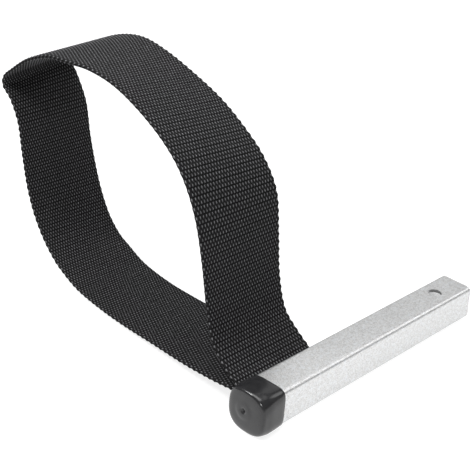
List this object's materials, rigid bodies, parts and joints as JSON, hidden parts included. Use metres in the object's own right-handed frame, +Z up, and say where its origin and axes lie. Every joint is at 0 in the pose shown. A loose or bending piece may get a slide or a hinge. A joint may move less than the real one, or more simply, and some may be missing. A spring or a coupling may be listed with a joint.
{
  "type": "oil filter strap wrench",
  "caption": "Strap-type oil filter wrench: square steel tube handle with an open square-drive end, a vinyl end cap and a loop of wide webbing held in a slot.",
  "frame": {"origin": "centre of the square tube's underside, halfway along the tube", "axes": "+X along the tube to the open drive end, +Y the way the strap leaves the tube, +Z up"},
  "size_m": [0.1312, 0.1922, 0.1208],
  "materials": {
    "zinc_steel": "zinc plated, satin, finely mottled",
    "bright_steel": "drawn rod, satin",
    "webbing": "heavy woven nylon webbing with cross ribs",
    "thread": "twisted nylon thread",
    "black_vinyl": "dipped vinyl, semi-gloss"
  },
  "bodies": {
    "handle": {"handle_tube": "zinc_steel", "retaining_pin": "bright_steel", "strap_anchor": "webbing", "lap_stitching": "thread"},
    "cap": {"end_cap": "black_vinyl"},
    "front_run": {"strap_front_run": "webbing"},
    "top_run": {"strap_top_run": "webbing"},
    "rear_run": {"strap_rear_run": "webbing"},
    "lower_run": {"strap_lower_run": "webbing"}
  },
  "joints": [
    {"name": "cap_pull", "type": "slide", "parent": "handle", "child": "cap", "axis": [-1, 0, 0], "range_m": [0, 0.016]},
    {"name": "strap_swing", "type": "hinge", "parent": "handle", "child": "front_run", "pos_m": [0, 0.009, 0.012], "axis": [1, 0, 0], "range_deg": [-25, 35]},
    {"name": "loop_fold", "type": "hinge", "parent": "front_run", "child": "top_run", "pos_m": [0, 0.0495, 0.099], "axis": [1, 0, 0], "range_deg": [-20, 35], "stiffness_Nm_per_rad": 0.2, "springref_deg": -2.29},
    {"name": "rear_fold", "type": "hinge", "parent": "top_run", "child": "rear_run", "pos_m": [0, 0.1824, 0.093], "axis": [1, 0, 0], "range_deg": [-35, 20]},
    {"name": "lower_fold", "type": "hinge", "parent": "rear_run", "child": "lower_run", "pos_m": [0, 0.1419, 0.006], "axis": [1, 0, 0], "range_deg": [-20, 35]}
  ],
  "couplings": [
    {"joint": "rear_fold", "follows": "loop_fold", "ratio": -1},
    {"joint": "lower_fold", "follows": "loop_fold", "ratio": 1}
  ]
}
